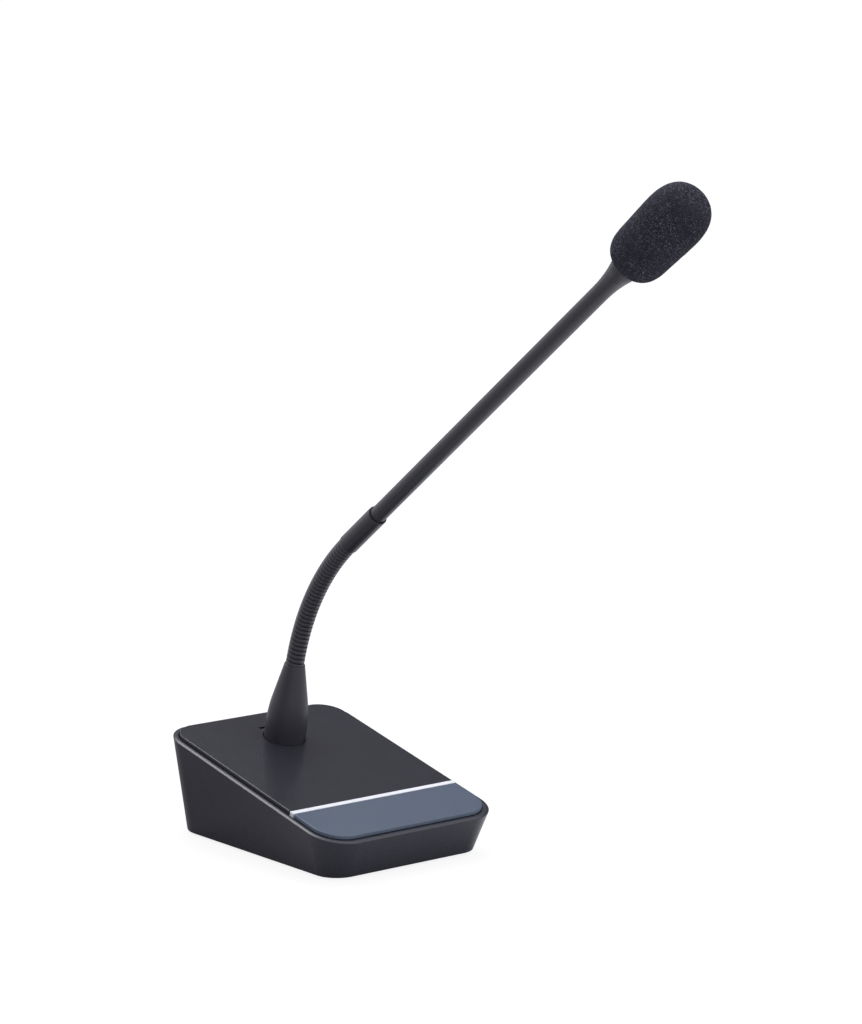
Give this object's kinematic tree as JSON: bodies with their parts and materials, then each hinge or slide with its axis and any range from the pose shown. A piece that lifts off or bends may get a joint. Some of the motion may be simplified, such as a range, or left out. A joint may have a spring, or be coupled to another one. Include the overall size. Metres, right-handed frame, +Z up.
{
  "type": "gooseneck podium microphone",
  "caption": "Desk microphone: a wedge base with a hinged talk key, light bar and latched socket holds a plug-in arm with a bending neck, straight tube and foam windscreen.",
  "frame": {"origin": "middle of the rubber pad's underside, on the desk", "axes": "+Z up; -Y to the front, towards the talk key and the windscreen; +X to the right of someone facing the front from behind the base"},
  "size_m": [0.1, 0.3115, 0.3191],
  "materials": {
    "housing_plastic": "satin",
    "plate_plastic": "satin",
    "key_plastic": "satin",
    "light_guide": "gloss",
    "led_lens": "gloss",
    "pad_rubber": "matte",
    "seal_rubber": "matte",
    "zinc_steel": "satin",
    "screw_steel": "satin",
    "plug_nickel": "satin",
    "board_laminate": "satin",
    "insulator": "matte",
    "contact_gold": "polished",
    "connector_black": "satin",
    "sleeve_black": "satin",
    "tube_black": "satin",
    "neck_steel": "satin",
    "capsule_metal": "satin",
    "foam": "matte"
  },
  "bodies": {
    "base": {"base_shell": "housing_plastic", "top_plate": "plate_plastic", "light_bar": "light_guide", "bottom_cover": "housing_plastic", "anti_slip_pad": "pad_rubber", "ballast_plate": "zinc_steel", "main_board": "board_laminate", "key_board": "board_laminate", "bar_led_1": "led_lens", "bar_led_2": "led_lens", "bar_led_3": "led_lens", "switch_body_left": "insulator", "switch_body_right": "insulator", "key_hinge_pin": "zinc_steel", "key_spring": "zinc_steel", "arm_socket": "connector_black", "socket_insert": "insulator", "socket_contact_1": "contact_gold", "socket_contact_2": "contact_gold", "socket_contact_3": "contact_gold", "socket_screw_1": "screw_steel", "socket_screw_2": "screw_steel", "latch_spring": "zinc_steel", "output_connector": "connector_black", "output_pin_block": "contact_gold", "connector_screw_1": "screw_steel", "connector_screw_2": "screw_steel", "cover_screw_1": "screw_steel", "cover_screw_2": "screw_steel", "cover_screw_3": "screw_steel", "cover_screw_4": "screw_steel"},
    "talk_key": {"talk_key": "key_plastic"},
    "switch_left": {"switch_plunger_left": "key_plastic"},
    "switch_right": {"switch_plunger_right": "key_plastic"},
    "latch": {"latch_tab": "housing_plastic"},
    "mic_foot": {"sleeve": "sleeve_black", "plug_shell": "plug_nickel", "plug_insert": "insulator", "plug_pin_1": "contact_gold", "plug_pin_2": "contact_gold", "plug_pin_3": "contact_gold", "neck_lower_end": "neck_steel"},
    "neck_1": {"neck_bead_1": "neck_steel"},
    "neck_2": {"neck_bead_2": "neck_steel"},
    "neck_3": {"neck_bead_3": "neck_steel"},
    "neck_4": {"neck_bead_4": "neck_steel"},
    "neck_5": {"neck_bead_5": "neck_steel"},
    "neck_6": {"neck_bead_6": "neck_steel"},
    "neck_7": {"neck_bead_7": "neck_steel"},
    "neck_8": {"neck_bead_8": "neck_steel"},
    "neck_9": {"neck_bead_9": "neck_steel"},
    "boom": {"neck_upper_end": "neck_steel", "collar": "tube_black", "collar_ring": "seal_rubber", "boom_tube": "tube_black", "capsule_housing": "tube_black", "capsule_grille": "tube_black", "capsule_boot": "seal_rubber", "capsule": "capsule_metal"},
    "windscreen": {"foam_windscreen": "foam"}
  },
  "joints": [
    {"name": "talk_key_press", "type": "hinge", "parent": "base", "child": "talk_key", "pos_m": [0, -0.04084, 0.02126], "axis": [1, 0, 0], "range_deg": [0, 2.2], "stiffness_Nm_per_rad": 0.6, "springref_deg": -2.86, "deforming": ["key_spring"]},
    {"name": "switch_left_press", "type": "slide", "parent": "base", "child": "switch_left", "axis": [0, 0.223, -0.9748], "range_m": [0, 0.00065]},
    {"name": "switch_right_press", "type": "slide", "parent": "base", "child": "switch_right", "axis": [0, 0.223, -0.9748], "range_m": [0, 0.00065]},
    {"name": "latch_press", "type": "slide", "parent": "base", "child": "latch", "axis": [0, 0.223, -0.9748], "range_m": [0, 0.0016], "stiffness_N_per_m": 800, "springref_m": -0.0012, "deforming": ["latch_spring"]},
    {"name": "arm_unplug", "type": "slide", "parent": "base", "child": "mic_foot", "axis": [0, -0.223, 0.9748], "range_m": [0, 0.022]},
    {"name": "neck_bend_1", "type": "hinge", "parent": "mic_foot", "child": "neck_1", "pos_m": [0, 0.02255, 0.08326], "axis": [1, 0, 0], "range_deg": [-17, 9]},
    {"name": "neck_sway_1", "type": "hinge", "parent": "neck_1", "child": "neck_2", "pos_m": [0, 0.0202, 0.09048], "axis": [0, 0.9399, 0.3415], "range_deg": [-12, 12]},
    {"name": "neck_bend_2", "type": "hinge", "parent": "neck_2", "child": "neck_3", "pos_m": [0, 0.01736, 0.09753], "axis": [1, 0, 0], "range_deg": [-17, 9]},
    {"name": "neck_sway_2", "type": "hinge", "parent": "neck_3", "child": "neck_4", "pos_m": [0, 0.01406, 0.10438], "axis": [0, 0.8855, 0.4645], "range_deg": [-12, 12]},
    {"name": "neck_bend_3", "type": "hinge", "parent": "neck_4", "child": "neck_5", "pos_m": [0, 0.01031, 0.11098], "axis": [1, 0, 0], "range_deg": [-17, 9]},
    {"name": "neck_sway_3", "type": "hinge", "parent": "neck_5", "child": "neck_6", "pos_m": [0, 0.00612, 0.11732], "axis": [0, 0.8152, 0.5792], "range_deg": [-12, 12]},
    {"name": "neck_bend_4", "type": "hinge", "parent": "neck_6", "child": "neck_7", "pos_m": [0, 0.00151, 0.12337], "axis": [1, 0, 0], "range_deg": [-17, 9]},
    {"name": "neck_sway_4", "type": "hinge", "parent": "neck_7", "child": "neck_8", "pos_m": [0, -0.00349, 0.12909], "axis": [0, 0.7301, 0.6834], "range_deg": [-12, 12]},
    {"name": "neck_bend_5", "type": "hinge", "parent": "neck_8", "child": "neck_9", "pos_m": [0, -0.00887, 0.13445], "axis": [1, 0, 0], "range_deg": [-17, 9]},
    {"name": "neck_sway_5", "type": "hinge", "parent": "neck_9", "child": "boom", "pos_m": [0, -0.0146, 0.13945], "axis": [0, 0.6317, 0.7752], "range_deg": [-12, 12]},
    {"name": "windscreen_pull", "type": "slide", "parent": "boom", "child": "windscreen", "axis": [0, -0.796, 0.6053], "range_m": [0, 0.03]}
  ],
  "couplings": [
    {"joint": "switch_left_press", "follows": "talk_key_press", "m_per_rad": 0.0164},
    {"joint": "switch_right_press", "follows": "talk_key_press", "m_per_rad": 0.0164}
  ]
}
